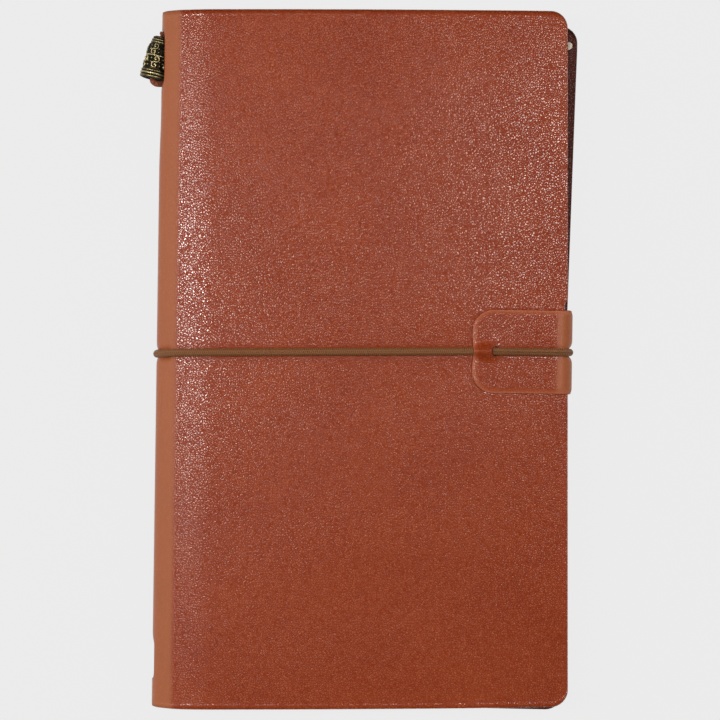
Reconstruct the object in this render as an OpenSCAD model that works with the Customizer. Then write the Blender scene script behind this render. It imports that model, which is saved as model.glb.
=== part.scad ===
// Refillable notebook cover: one leather sheet folded round three booklets and a zip pouch, all held
// on elastic strands in the spine. An elastic loop with a leather tab keeps it shut.
// The book lies on its back cover. X runs from the spine to the fore edge, Y from foot to head, Z up.

/* [Cover] */
// Length of the spine, foot to head
cover_length = 220; // [216:1:240]
// Width of the closed front cover, halfway up
cover_width = 129.75; // [127:0.25:135]
// How much narrower the front cover is at the head than at the foot
front_skew = 3.0; // [0:0.5:4]
// Thickness of the closed book at its thickest, beside the spine
book_thick = 20; // [19.5:0.5:22]
// Fall of the front cover from its crown to the fore edge
front_fall = 4.6; // [3.5:0.1:4.8]
// Thickness of the outer leather
skin = 1.2; // [1:0.1:1.4]
// Thickness of the lining
lining = 0.8; // [0.6:0.1:0.8]
// Radius of the cover's fore-edge corners
corner_r = 4.5; // [3:0.5:8]

/* [Closure] */
// Diameter of the elastic closure cord
cord_d = 2.4; // [2:0.1:2.6]
// Where the closure cord crosses the fore edge, measured from mid-height
cord_y = 3.9; // [0:0.1:6]
// Height of the leather tab along the fore edge
tab_h = 26.6; // [22:0.2:30]
// Distance that the tab reaches over each cover
tab_reach = 32; // [28:0.5:36]
// Thickness of the tab's leather
tab_thick = 1.2; // [1:0.1:1.3]
// Distance from the tab's tip to its cord hole
tab_hole_in = 7.4; // [6:0.2:10]

/* [Inserts] */
// Width of a booklet
booklet_w = 110; // [105:1:112]
// Height of a booklet
booklet_h = 210; // [200:1:212]
// Number of booklets
booklets = 3; // [3]
// Diameter of the elastic strands in the spine
strand_d = 1.4; // [1:0.1:1.6]
// Width of the zip pouch
pouch_w = 117; // [110:1:118]
// Height of the zip pouch
pouch_h = 208; // [200:1:210]

/* [Charm] */
// Length of the metal bead
bead_len = 13.6; // [13.4:0.1:14]
// Radius of the bead's thickest ring
bead_r = 4.4; // [3.5:0.1:4.5]
// Lean of the bead from the spine's line, in degrees
bead_lean = 13; // [0:1:15]
// Diameter of the charm's cord
charm_cord_d = 1.9; // [1.4:0.1:2]

/* [Hidden] */
$fn = 48;

// Heights: the book stands on the closure cord, where it crosses the rear half of the tab
press = 0.3;
cord_r = cord_d / 2;
cord_rise = cord_r - press;
tab_rise = tab_thick - press;
tab_cord_rise = tab_rise + cord_rise;
back_z = tab_cord_rise + cord_r;
top_z = back_z + book_thick;
inner_back_z = back_z + skin + lining;

// The spine's outline: flat side, round lower corner, tighter and softly crowned upper corner
low_r = 6;
high_r = 4.3;
high_cx = 5;
high_cz = top_z - 7.3;
fold_x = 9;
crown_x = 17;
back_join_x = 12;
seam_gap = 0.1;

// Where the hinge line of the front cover lies, just outside the spine's upper corner
hinge_x = 1.5;
hinge_z = top_z - 2;

// The bounding box's centre, which becomes the origin
centre_x = 63.283;
centre_y = 0.35;

half_len = cover_length / 2;
front_slope = front_fall / (cover_width - crown_x);
fore_x = cover_width;
back_reach = cover_width + 2.85;
back_pinch_x = cover_width + 0.55;
tab_inner_x = cover_width + 0.9;
tab_corner_r = 4.6;
strand_x = 7.5;
strand_r = strand_d / 2;
strand_out = 3.2;
strand_start_x = 2;
booklet_pitch = 3.6;
booklet_mid_pitch = 4.25;
booklet_fore_pitch = 3.1;
booklet_mid_x = 16;
booklet_nose_r = 1.72;
booklet_card = 0.35;
stack_z = inner_back_z + 0.2;
pouch_thick = 1.3;
pouch_nose_r = 1.05;
pouch_z = stack_z + booklets * booklet_pitch + 1.25;
pouch_mid_z = stack_z + booklets * booklet_mid_pitch + pouch_thick / 2 + 0.1;
pouch_fore_z = stack_z + booklets * booklet_fore_pitch + pouch_thick / 2 + 0.1;
bead_pos = [-1.6, 95.6, top_z - 9.6];
charm_y = 86.95;
charm_z = bead_pos[2];
charm_pivot_x = -1.1;
slot_high = 13;
slot_z = 12;
slot_corner_r = 3;
head_slot = [86, 105];
foot_slot = [-102.1, -87.7];
leather = [0.56, 0.29, 0.2];
lining_red = [0.36, 0.18, 0.14];
cord_brown = [0.51, 0.33, 0.19];
bronze = [0.45, 0.38, 0.26];

// ---- helpers ----

function crown(x) = x < crown_x
    ? top_z - 3 * pow((crown_x - x) / (crown_x - high_cx), 1.15)
    : top_z - front_slope * (x - crown_x);

function arc(cx, cz, r, a0, a1, steps) =
    [for (i = [0:steps]) let (a = a0 + (a1 - a0) * i / steps) [cx + r * cos(a), cz + r * sin(a)]];

function cross3(a, b) = [a[1] * b[2] - a[2] * b[1], a[2] * b[0] - a[0] * b[2], a[0] * b[1] - a[1] * b[0]];
function unit(v) = v / norm(v);
function heading(p, i) = unit(p[min(i + 1, len(p) - 1)] - p[max(i - 1, 0)]);
function side_of(d, up) = unit(cross3(d, up));

// A round cord swept along a list of points; up is any direction the cord never runs along
module cord(points, r, up, sides = 8) {
    rings = len(points);
    verts = [for (i = [0:rings - 1])
        let (d = heading(points, i), s = side_of(d, up), n = cross3(s, d))
        for (k = [0:sides - 1])
            let (a = 360 * (k + 0.5) / sides)
            points[i] + r * cos(a) * s + r * sin(a) * n];
    walls = [for (i = [0:rings - 2]) for (k = [0:sides - 1])
        [i * sides + k, i * sides + (k + 1) % sides,
         (i + 1) * sides + (k + 1) % sides, (i + 1) * sides + k]];
    ends = [[for (k = [sides - 1:-1:0]) k], [for (k = [0:sides - 1]) (rings - 1) * sides + k]];
    polyhedron(verts, concat(walls, ends));
}

// Puts an X-Z profile upright and draws it out along Y
module along_y(y0, y1) {
    translate([0, y1, 0]) rotate([90, 0, 0]) linear_extrude(y1 - y0) children();
}

module in_frame() {
    translate([-centre_x, -centre_y, 0]) children();
}

// Plan of the front cover: a sheet that leans a little from the spine's line
front_rise = 1.8;
module front_plan() {
    x_foot = fore_x + front_skew / 2;
    x_head = fore_x - front_skew / 2;
    r = corner_r;
    polygon(concat(
        [[fold_x, -half_len]],
        [for (i = [0:6]) let (a = -90 + 15 * i)
            [x_foot - r + r * cos(a), -half_len + front_rise + r + r * sin(a)]],
        [for (i = [0:6]) let (a = 15 * i)
            [x_head - r + r * cos(a), half_len + front_rise - r + r * sin(a)]],
        [[fold_x, half_len]]));
}

// Plan of the back cover: it leans the other way, and the elastic pinches it at mid-height
back_drop = 1.1;
module back_plan() {
    x_foot = fore_x + 0.85;
    r = corner_r;
    polygon(concat(
        [[back_join_x, -half_len]],
        [for (i = [0:6]) let (a = -90 + 15 * i)
            [x_foot - r + r * cos(a), -half_len - back_drop + r + r * sin(a)]],
        [[back_pinch_x, cord_y]],
        [for (i = [0:6]) let (a = 15 * i)
            [back_reach - r + r * cos(a), half_len - back_drop - r + r * sin(a)]],
        [[back_join_x, half_len]]));
}

// Side view of the spine at a depth below its outer surface, from the back cover to the fold
module spine_profile(depth, thick) {
    outer = concat([[back_join_x, back_z + depth]],
        arc(low_r, back_z + low_r, low_r - depth, -90, -180, 8),
        [[0.7 + depth, high_cz]]);
    inner = concat([[back_join_x, back_z + depth + thick]],
        arc(low_r, back_z + low_r, low_r - depth - thick, -90, -180, 8),
        [[0.7 + depth + thick, high_cz]]);
    polygon(concat(outer, [for (i = [len(inner) - 1:-1:0]) inner[i]]));
}

// Side view of the fold that the front cover opens on
fold_turn = 105;
module fold_profile(depth, thick) {
    slope_x = [high_cx, 6, 7, 8, fold_x - seam_gap];
    outer = concat(arc(high_cx, high_cz, high_r - depth, 180, fold_turn, 8),
        [for (x = slope_x) [x, crown(x) - depth]]);
    inner = concat(arc(high_cx, high_cz, high_r - depth - thick, 180, fold_turn, 8),
        [for (x = slope_x) [x, crown(x) - depth - thick]]);
    polygon(concat(outer, [for (i = [len(inner) - 1:-1:0]) inner[i]]));
}

module front_profile(depth, thick) {
    xs = concat([for (i = [0:4]) fold_x + (crown_x - fold_x) * i / 4], [fore_x + 10]);
    polygon(concat([for (x = xs) [x, crown(x) - depth]],
        [for (i = [len(xs) - 1:-1:0]) [xs[i], crown(xs[i]) - depth - thick]]));
}

// A round-cornered opening through the spine, between two places along Y
module spine_slot(ends) {
    r = slot_corner_r;
    low = slot_z - slot_high / 2;
    long = ends[1] - ends[0];
    for (y = [ends[0] + r, ends[1] - r], z = [low + r, low + slot_high - r])
        translate([-3, y, z]) rotate([0, 90, 0]) cylinder(h = 8, r = r);
    translate([-3, ends[0] + r, low]) cube([8, long - 2 * r, slot_high]);
    translate([-3, ends[0], low + r]) cube([8, long, slot_high - 2 * r]);
}

module spine_openings() {
    spine_slot(head_slot);
    spine_slot(foot_slot);
}

function booklet_z(i) = stack_z + booklet_pitch * (i + 0.5);
function booklet_mid_z(i) = stack_z + booklet_mid_pitch * (i + 0.5);
function booklet_fore_z(i) = stack_z + booklet_fore_pitch * (i + 0.5);

// The strands leave the lining one above another, the lowest first
function strand_exit_z(i) = inner_back_z + 1.6 + 2.6 * i;

module strand_holes() {
    for (i = [0:booklets], s = [-1, 1])
        translate([0, s * (booklet_h / 2 + strand_out), strand_exit_z(i)]) rotate([0, 90, 0])
            cylinder(h = 4, r = strand_r + 0.25);
}

// ---- leather cover ----

// The back cover carries the marks that the cord and the tab press into it
module back_cover() {
    color(leather) in_frame() difference() {
        translate([0, 0, back_z]) linear_extrude(skin) back_plan();
        translate([0, cord_y - 2.6, back_z - 1]) cube([fore_x - tab_reach, 3.6, 1 + press]);
        beyond_tab();
    }
}

module back_lining() {
    color(lining_red) in_frame() difference() {
        translate([0, 0, back_z + skin]) linear_extrude(lining) back_plan();
        beyond_tab();
    }
}

module spine_wall() {
    color(leather) in_frame() difference() {
        along_y(-half_len, half_len) spine_profile(0, skin);
        spine_openings();
        cord(spine_cord_path, cord_r, [0, 1, 0]);
        translate([low_r, cord_y - 2.6, back_z - 1]) cube([back_join_x, 3.6, 1 + press]);
        cord_hole();
    }
}

module spine_lining() {
    color(lining_red) in_frame() difference() {
        along_y(-half_len, half_len) spine_profile(skin, lining);
        spine_openings();
        strand_holes();
        cord_hole();
    }
}

module front_fold() {
    color(leather) in_frame() difference() {
        along_y(-half_len, half_len) fold_profile(0, skin);
        front_cord_groove();
        spine_openings();
    }
}

module front_fold_lining() {
    color(lining_red) in_frame() difference() {
        along_y(-half_len, half_len) fold_profile(skin, lining);
        spine_openings();
    }
}

module front_cord_groove() {
    cord(front_cord_path, cord_r + 0.3, [0, 1, 0]);
}

module front_cover() {
    color(leather) in_frame() difference() {
        intersection() {
            along_y(-half_len - 5, half_len + 5) front_profile(0, skin);
            linear_extrude(top_z + 5) front_plan();
        }
        front_cord_groove();
        beyond_tab();
    }
}

module front_lining() {
    color(lining_red) in_frame() difference() {
        intersection() {
            along_y(-half_len - 5, half_len + 5) front_profile(skin, lining);
            linear_extrude(top_z + 5) front_plan();
        }
        beyond_tab();
    }
}

// ---- closure ----

back_anchor_x = 9;
back_anchor_y = cord_y - 1;

front_anchor_y = cord_y - 2.4;
spine_rise = 0.5;
strand_end_x = fore_x - tab_reach + 3.5;

function above_front(x, y, rise) = [x, y, crown(x) + rise];

// Front run: from the fold, over the crown and on to the tab
front_cord_path = concat(
    [for (i = [0:6]) let (a = 185 - 95 * i / 6)
        [high_cx + (high_r + cord_rise) * cos(a), front_anchor_y + 0.08 * i,
         high_cz + (high_r + cord_rise) * sin(a)]],
    [for (x = [7.5, 10, 13, 17, 30, 60, 90, strand_end_x])
        above_front(x, front_anchor_y + 0.5 + (cord_y - front_anchor_y - 0.5) * x / strand_end_x,
            cord_rise - 0.1 * (x < 10 ? 1 : 0))]);

// Round the spine to the back cover, then across it to the tab
spine_cord_path = concat(
    [[0.7 - cord_rise, front_anchor_y, high_cz - 0.9]],
    [for (z = [high_cz - 4, back_z + low_r + 2]) [-spine_rise, front_anchor_y, z]],
    [for (i = [0:6]) let (a = 180 + 15 * i, rise = spine_rise + (cord_rise - spine_rise) * i / 6)
        [low_r + (low_r + rise) * cos(a), front_anchor_y + 0.2 * i,
         back_z + low_r + (low_r + rise) * sin(a)]]);
back_cord_path = [for (x = [8, 30, 60, 90, strand_end_x])
    [x, back_anchor_y + (cord_y - back_anchor_y) * x / strand_end_x, back_z - cord_rise]];

module closure_cord_front() {
    color(cord_brown) in_frame() cord(front_cord_path, cord_r, [0, 1, 0]);
}

module closure_cord_back() {
    color(cord_brown) in_frame() cord(concat(spine_cord_path, back_cord_path), cord_r, [0, 1, 0]);
}

// The loop's end goes through this hole in the back, beside the spine, and is glued in it
module cord_hole() {
    translate([back_anchor_x, back_anchor_y, back_z - 1]) cylinder(h = 4, r = cord_r + 0.15);
}

module closure_knot() {
    color(cord_brown) in_frame() translate([back_anchor_x, back_anchor_y, back_z + 0.7])
        cylinder(h = skin + lining - 0.7, r = cord_r);
}

tab_slope = atan(front_slope);
tab_outer_x = tab_inner_x + tab_thick;
tab_tip_x = fore_x - tab_reach;

// Side view of the tab's leather: over the front, round the fore edge and under the back
function tab_line(depth) =
    let (r = tab_corner_r - depth,
         top_c = [tab_outer_x - tab_corner_r, crown(tab_outer_x - tab_corner_r) + tab_rise - tab_corner_r],
         low_c = [tab_outer_x - tab_corner_r, back_z - tab_rise + tab_corner_r])
    concat([[tab_tip_x, crown(tab_tip_x) + tab_rise - depth]],
        arc(top_c[0], top_c[1], r, 90, 0, 8),
        arc(low_c[0], low_c[1], r, 0, -90, 8),
        [[tab_tip_x, back_z - tab_rise + depth]]);

module tab_profile() {
    inner = tab_line(tab_thick);
    polygon(concat(tab_line(0), [for (i = [len(inner) - 1:-1:0]) inner[i]]));
}

tab_corner = 7;
module tab_plan() {
    r = tab_corner;
    polygon(concat(
        [for (i = [0:6]) let (a = 180 + 15 * i)
            [tab_tip_x + r + r * cos(a), cord_y - tab_h / 2 + r + r * sin(a)]],
        [[tab_outer_x + 5, cord_y - tab_h / 2], [tab_outer_x + 5, cord_y + tab_h / 2]],
        [for (i = [0:6]) let (a = 90 + 15 * i)
            [tab_tip_x + r + r * cos(a), cord_y + tab_h / 2 - r + r * sin(a)]]));
}

// Everything outside the tab's inner face, with a hair of clearance: it trims the covers under the tab
module beyond_tab() {
    line = tab_line(tab_thick + 0.05);
    y0 = cord_y - tab_h / 2 - 0.6;
    along_y(y0, y0 + tab_h + 1.2) difference() {
        translate([tab_tip_x - 0.6, -5]) square([tab_reach + 20, top_z + 20]);
        polygon(concat([[tab_tip_x - 2, line[0][1] + 1.4 * front_slope]], line,
            [[tab_tip_x - 2, back_z + press + 0.05]]));
    }
}

hole_x = tab_tip_x + tab_hole_in;
ridge_r = cord_r + 0.3 + tab_thick;

// The tip of the tab rides over the cord; the cord then comes out through the hole
module tab_ridge(z_mid, s) {
    translate([tab_tip_x, cord_y, z_mid]) rotate([0, 90 + s * tab_slope, 0])
        cylinder(h = tab_hole_in - 1.5, r = ridge_r);
}

module tab_channel(z_mid, s) {
    translate([tab_tip_x - 3, cord_y, z_mid + s * 3 * front_slope]) rotate([0, 90 + s * tab_slope, 0])
        cylinder(h = tab_hole_in + 3, r = cord_r + 0.3);
}

module closure_tab() {
    color(leather) in_frame() difference() {
        intersection() {
            union() {
                along_y(cord_y - tab_h / 2, cord_y + tab_h / 2) tab_profile();
                intersection() {
                    tab_ridge(crown(tab_tip_x) + cord_rise, 1);
                    translate([0, -50, top_z - 10]) along_y(0, 100)
                        polygon([[tab_tip_x, crown(tab_tip_x) - press + 10 - top_z],
                            [hole_x, crown(hole_x) - press + 10 - top_z], [hole_x, 20], [tab_tip_x, 20]]);
                }
                intersection() {
                    tab_ridge(back_z - cord_rise, 0);
                    translate([0, -50, -5]) cube([200, 100, back_z + press + 5]);
                }
            }
            linear_extrude(top_z + 10) tab_plan();
        }
        tab_channel(crown(tab_tip_x) + cord_rise, 1);
        tab_channel(back_z - cord_rise, 0);
        translate([hole_x, cord_y, top_z - 12]) cylinder(h = 20, r = 1.9);
        translate([hole_x, cord_y, -1]) cylinder(h = 8, r = 1.9);
        cord(tab_cord_path, cord_r, [0, 1, 0]);
    }
}

tab_cord_top_c = [tab_outer_x - tab_corner_r, crown(tab_outer_x - tab_corner_r) + tab_rise - tab_corner_r];
tab_cord_low_c = [tab_outer_x - tab_corner_r, back_z - tab_rise + tab_corner_r];
tab_cord_bend_r = tab_corner_r + cord_rise;
tab_cord_path = concat(
    [[strand_end_x + 0.4, cord_y, crown(strand_end_x + 0.4) + cord_rise],
     [hole_x - 1, cord_y, crown(hole_x - 1) + cord_rise + 0.25],
     [hole_x + 1, cord_y, crown(hole_x + 1) + tab_cord_rise - 0.25],
     [hole_x + 3, cord_y, crown(hole_x + 3) + tab_cord_rise]],
    [for (x = [hole_x + 9, hole_x + 14]) [x, cord_y, crown(x) + tab_cord_rise]],
    [for (p = arc(tab_cord_top_c[0], tab_cord_top_c[1], tab_cord_bend_r, 90, 0, 6)) [p[0], cord_y, p[1]]],
    [for (p = arc(tab_cord_low_c[0], tab_cord_low_c[1], tab_cord_bend_r, 0, -90, 6)) [p[0], cord_y, p[1]]],
    [[hole_x + 14, cord_y, back_z - tab_cord_rise],
     [hole_x + 3, cord_y, back_z - tab_cord_rise],
     [hole_x + 1, cord_y, back_z - tab_cord_rise + 0.25],
     [hole_x - 1, cord_y, back_z - cord_rise - 0.25],
     [strand_end_x + 0.4, cord_y, back_z - cord_rise]]);

module closure_cord_tab() {
    color(cord_brown) in_frame() cord(tab_cord_path, cord_r, [0, 1, 0]);
}

// ---- inserts ----

// A strand of elastic: out of the spine's lining, along a fold and back in at the other end
module strand(z, exit_z) {
    y_out = booklet_h / 2 + strand_out;
    bend = 2.6;
    half = [for (i = [0:4]) let (a = 90 - 22.5 * i)
        [strand_x - bend + bend * cos(a), y_out - bend + bend * sin(a), z]];
    cord(concat([[strand_start_x, y_out, exit_z], [3, y_out, exit_z]], half,
        [for (i = [4:-1:0]) [half[i][0], -half[i][1], z]],
        [[3, -y_out, exit_z], [strand_start_x, -y_out, exit_z]]), strand_r, [0, 0, 1]);
}

module insert_strands() {
    color([0.25, 0.16, 0.12]) in_frame() {
        for (i = [0:booklets - 1]) strand(booklet_z(i), strand_exit_z(i));
        strand(pouch_z, strand_exit_z(booklets));
    }
}

// Side view of booklet i, shrunk by inset all round: a round fold, fullest just past it
module booklet_profile(i, inset) {
    r = booklet_nose_r - inset;
    mid = booklet_mid_pitch / 2 - 0.08 - inset;
    fore = booklet_fore_pitch / 2 - 0.08 - inset;
    polygon(concat(arc(strand_x, booklet_z(i), r, 100, 260, 10),
        [[booklet_mid_x, booklet_mid_z(i) - mid], [booklet_fore_x, booklet_fore_z(i) - fore],
         [booklet_fore_x, booklet_fore_z(i) + fore], [booklet_mid_x, booklet_mid_z(i) + mid]]));
}

booklet_fore_x = strand_x - booklet_nose_r + booklet_w;
module booklet_cover(i) {
    gap = booklet_fore_pitch - 0.16 - 2 * booklet_card;
    in_frame() difference() {
        along_y(-booklet_h / 2, booklet_h / 2) booklet_profile(i, 0);
        along_y(-booklet_h / 2 - 1, booklet_h / 2 + 1) booklet_profile(i, booklet_card);
        translate([booklet_fore_x - 1, -booklet_h, booklet_fore_z(i) - gap / 2])
            cube([3, 2 * booklet_h, gap]);
        staples(i);
    }
}

module booklet_pages(i) {
    in_frame() difference() {
        along_y(-booklet_h / 2, booklet_h / 2) booklet_profile(i, booklet_card);
        translate([strand_x, booklet_h, booklet_z(i)]) rotate([90, 0, 0])
            cylinder(h = 2 * booklet_h, r = strand_r + 0.25);
        staples(i);
    }
}

// Two wire staples through the fold, legs turned in over the centre pages
module staples(i) {
    for (y = [-45, 45])
        translate([strand_x - booklet_nose_r - 0.12, y - 6, booklet_z(i) - 0.3])
            cube([0.36 + booklet_card, 12, 0.6]);
}

module booklet_staples(i) {
    color("silver") in_frame() difference() {
        staples(i);
        for (y = [-45, 45])
            translate([strand_x - booklet_nose_r + 0.12, y - 5.6, booklet_z(i) - 1]) cube([2, 11.2, 2]);
    }
}

module booklet_1_cover() { color([0.70, 0.55, 0.38]) booklet_cover(0); }
module booklet_2_cover() { color([0.70, 0.55, 0.38]) booklet_cover(1); }
module booklet_3_cover() { color([0.70, 0.55, 0.38]) booklet_cover(2); }
module booklet_1_pages() { color([0.93, 0.90, 0.82]) booklet_pages(0); }
module booklet_2_pages() { color([0.93, 0.90, 0.82]) booklet_pages(1); }
module booklet_3_pages() { color([0.93, 0.90, 0.82]) booklet_pages(2); }
module booklet_1_staples() { booklet_staples(0); }
module booklet_2_staples() { booklet_staples(1); }
module booklet_3_staples() { booklet_staples(2); }

// ---- zip pouch ----

pouch_fore_x = strand_x + pouch_w - pouch_nose_r;
pouch_tilt = atan((pouch_mid_z - pouch_fore_z) / (pouch_fore_x - booklet_mid_x));
zip_y = pouch_h / 2 - 3;
zip_half = 2.6;
film = 0.3;

// Side view of the pouch: a welded sleeve for its strand, then two films that lie on the booklets
module pouch_profile(inset) {
    t = pouch_thick / 2 - inset;
    x1 = pouch_fore_x - inset;
    polygon(concat(arc(strand_x, pouch_z, pouch_nose_r, 110, 250, 8),
        [[booklet_mid_x, pouch_mid_z - t], [x1, pouch_fore_z - t], [x1, pouch_fore_z + t],
         [booklet_mid_x, pouch_mid_z + t]]));
}

module pouch_pocket() {
    t = pouch_thick / 2 - film;
    x1 = pouch_fore_x - 4;
    z1 = pouch_fore_z + 4 * tan(pouch_tilt);
    polygon([[booklet_mid_x, pouch_mid_z - t], [x1, z1 - t], [x1, z1 + t],
        [booklet_mid_x, pouch_mid_z + t]]);
}

// The pouch's upper side, with Z square to it and X along it from its fullest line
module on_pouch() {
    in_frame() translate([booklet_mid_x, 0, pouch_mid_z]) rotate([0, pouch_tilt, 0]) children();
}

zip_x0 = 2;
zip_x1 = pouch_fore_x - booklet_mid_x - 3;

module pouch_film() {
    color([0.85, 0.87, 0.88, 0.5]) difference() {
        in_frame() difference() {
            along_y(-pouch_h / 2, pouch_h / 2) pouch_profile(0);
            along_y(-pouch_h / 2 + 3, pouch_h / 2 - 1) pouch_pocket();
            translate([strand_x, pouch_h, pouch_z]) rotate([90, 0, 0])
                cylinder(h = 2 * pouch_h, r = strand_r + 0.1);
        }
        on_pouch() translate([zip_x0, zip_y - zip_half, 0]) cube([zip_x1 - zip_x0, 2 * zip_half, 3]);
    }
}

module pouch_zip_tape() {
    color([0.55, 0.52, 0.46]) on_pouch() difference() {
        translate([zip_x0, zip_y - zip_half, 0]) cube([zip_x1 - zip_x0, 2 * zip_half, 0.3]);
        translate([zip_x0 - 1, zip_y - 0.2, -1]) cube([zip_x1, 0.4, 3]);
    }
}

tooth_pitch = 2;
module pouch_zip_teeth() {
    color([0.75, 0.72, 0.66]) on_pouch()
        for (x = [zip_x0 + 1:tooth_pitch:zip_x1 - 2])
            translate([x, zip_y - 0.8, 0.3]) cube([1.2, 1.6, 0.3]);
}

slider_x = zip_x1 - 6;
module zip_slider() {
    color([0.72, 0.70, 0.66]) on_pouch() difference() {
        translate([slider_x - 3.5, zip_y - 2.2, 0.35]) cube([7, 4.4, 0.65]);
        translate([slider_x - 5, zip_y - 1.1, 0]) cube([10, 2.2, 0.75]);
    }
}

pull_tip_x = cover_width + 0.2;
pull_r = 1.2;
module zip_pull() {
    x1 = pull_tip_x - booklet_mid_x - pull_r;
    color([0.80, 0.76, 0.68]) on_pouch() {
        translate([slider_x + 3.6, zip_y - pull_r, 0.7]) cube([x1 - slider_x - 3.6, 2 * pull_r, 0.5]);
        translate([x1, zip_y, 0.7]) cylinder(h = 0.5, r = pull_r);
    }
}

// ---- charm ----

charm_pivot = [charm_pivot_x, charm_y, charm_z];
bead_dir = [sin(bead_lean), cos(bead_lean), 0];

// Inside the spine: the knot, and the short stub of cord through the low end of the head slot
module charm_knot() {
    color(lining_red) in_frame() translate([0, charm_y, charm_z]) {
        translate([-0.1, 0, 0]) rotate([0, 90, 0]) cylinder(h = 3.5, d = charm_cord_d);
        translate([2.8, 0, 0]) rotate([0, 90, 0]) cylinder(h = 2.2, r = 1.8);
    }
}

bead_foot = bead_pos - bead_dir * bead_len / 2;
bead_top = bead_pos + bead_dir * bead_len / 2;

module charm_cord() {
    color(lining_red) in_frame() cord([
        charm_pivot + [0.3, 0, 0],
        charm_pivot + [-0.3, 0.02, 0],
        charm_pivot + [-1, 0.2, 0],
        bead_foot + [0.15, -1, 0],
        bead_foot + bead_dir * 0.3,
        bead_foot + bead_dir * 2,
        bead_top + bead_dir * 0.6], charm_cord_d / 2, [0, 0, 1]);
}

module charm_stop_knot() {
    color(lining_red) in_frame() translate(bead_top + bead_dir * 0.62) rotate([-90, 0, -bead_lean])
        cylinder(h = 1.2, r = 1.4);
}

// Cast bead: rings at both ends, two rows of scrollwork between; its bore runs freely on the cord
module charm_bead() {
    r = bead_r;
    l = bead_len;
    color(bronze) in_frame() translate(bead_foot) rotate([-90, 0, -bead_lean]) difference() {
        rotate_extrude() polygon(concat([[0, 0], [r - 0.9, 0]],
            arc(r - 0.45, 0.6, 0.45, -60, 60, 4),
            arc(r - 0.45, 1.7, 0.45, -60, 60, 4),
            arc(r - 0.5, 2.8, 0.45, -60, 60, 4),
            [[r - 0.55, 3.4], [r - 0.3, 5.4], [r - 0.55, 7.2], [r - 0.8, 7.5], [r - 0.5, 7.9],
             [r - 0.45, 9.4], [r - 0.8, 11.2]],
            arc(r - 1.1, 11.8, 0.45, -60, 60, 4),
            arc(r - 1.4, 13, 0.45, -60, 60, 4),
            [[r - 1.8, l], [0, l]]));
        translate([0, 0, -1]) cylinder(h = l + 2, d = charm_cord_d + 0.8);
    }
}

back_cover();
back_lining();
spine_wall();
spine_lining();
front_fold();
front_fold_lining();
front_cover();
front_lining();
closure_cord_front();
closure_cord_back();
closure_knot();
closure_tab();
closure_cord_tab();
insert_strands();
booklet_1_cover();
booklet_1_pages();
booklet_1_staples();
booklet_2_cover();
booklet_2_pages();
booklet_2_staples();
booklet_3_cover();
booklet_3_pages();
booklet_3_staples();
pouch_film();
pouch_zip_tape();
pouch_zip_teeth();
zip_slider();
zip_pull();
charm_knot();
charm_cord();
charm_stop_knot();
charm_bead();
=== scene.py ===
import math

import bpy
import numpy as np
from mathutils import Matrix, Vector


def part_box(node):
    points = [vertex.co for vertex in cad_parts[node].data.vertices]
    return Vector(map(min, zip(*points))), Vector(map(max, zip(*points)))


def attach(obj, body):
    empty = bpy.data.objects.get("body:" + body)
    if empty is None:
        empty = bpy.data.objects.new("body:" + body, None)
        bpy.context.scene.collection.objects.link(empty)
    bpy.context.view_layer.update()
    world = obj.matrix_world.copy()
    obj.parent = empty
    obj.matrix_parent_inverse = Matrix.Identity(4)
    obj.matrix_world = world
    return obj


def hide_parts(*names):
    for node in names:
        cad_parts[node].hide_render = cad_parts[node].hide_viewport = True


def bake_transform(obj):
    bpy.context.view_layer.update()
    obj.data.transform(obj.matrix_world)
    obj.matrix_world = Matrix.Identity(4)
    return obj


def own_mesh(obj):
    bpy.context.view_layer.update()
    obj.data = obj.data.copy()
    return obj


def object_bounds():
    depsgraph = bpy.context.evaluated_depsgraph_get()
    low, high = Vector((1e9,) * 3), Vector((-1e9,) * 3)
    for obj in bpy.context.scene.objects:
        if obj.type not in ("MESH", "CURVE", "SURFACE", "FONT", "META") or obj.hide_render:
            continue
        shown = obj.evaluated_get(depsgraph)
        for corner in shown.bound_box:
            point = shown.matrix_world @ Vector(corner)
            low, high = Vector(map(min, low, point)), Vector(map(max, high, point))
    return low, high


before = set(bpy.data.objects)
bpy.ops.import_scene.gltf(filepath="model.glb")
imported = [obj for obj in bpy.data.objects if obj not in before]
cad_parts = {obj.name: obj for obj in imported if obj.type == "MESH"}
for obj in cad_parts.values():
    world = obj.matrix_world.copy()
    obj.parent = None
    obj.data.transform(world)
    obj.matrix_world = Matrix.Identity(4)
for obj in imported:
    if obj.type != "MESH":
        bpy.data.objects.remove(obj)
cad_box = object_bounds()

# ---------------------------------------------------------------- sizes, in millimetres
# The working frame has X from the spine's outermost line, Y from the spine's middle and Z from the
# table, so most numbers below read like those of the CAD source.
MM = 0.001
SPINE_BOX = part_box("spine_wall")
FRONT_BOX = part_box("front_cover")
BACK_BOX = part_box("back_cover")
TAB_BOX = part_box("closure_tab")
PAGES_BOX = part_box("booklet_1_pages")
ORIGIN = Vector((SPINE_BOX[0].x, (SPINE_BOX[0].y + SPINE_BOX[1].y) / 2, 0))

HALF_LEN = (SPINE_BOX[1].y - SPINE_BOX[0].y) / 2 / MM
TOP = FRONT_BOX[1].z / MM
BACK = BACK_BOX[0].z / MM
SKIN = (BACK_BOX[1].z - BACK_BOX[0].z) / MM
LINING = 0.8
THICK = SKIN + LINING
# The fore edge of the front at mid-height, how far it leans over half the length, and how far the
# front's fore edge sits towards the head and the back's towards the foot
FORE_X = 129.75
FRONT_SKEW = 1.5
FRONT_RISE = 1.8
BACK_DROP = 1.1
CORNER_R = 5.4
# Fall of the front from its crown to the fore edge
FRONT_FALL = 4.6
CROWN_END = 17.0
# The spine's two corners and the line where the front cover begins
LOW_R = 6.0
HIGH_R = 4.3
HIGH_C = (5.0, TOP - 7.3)
FOLD_X = 9.0
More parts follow.
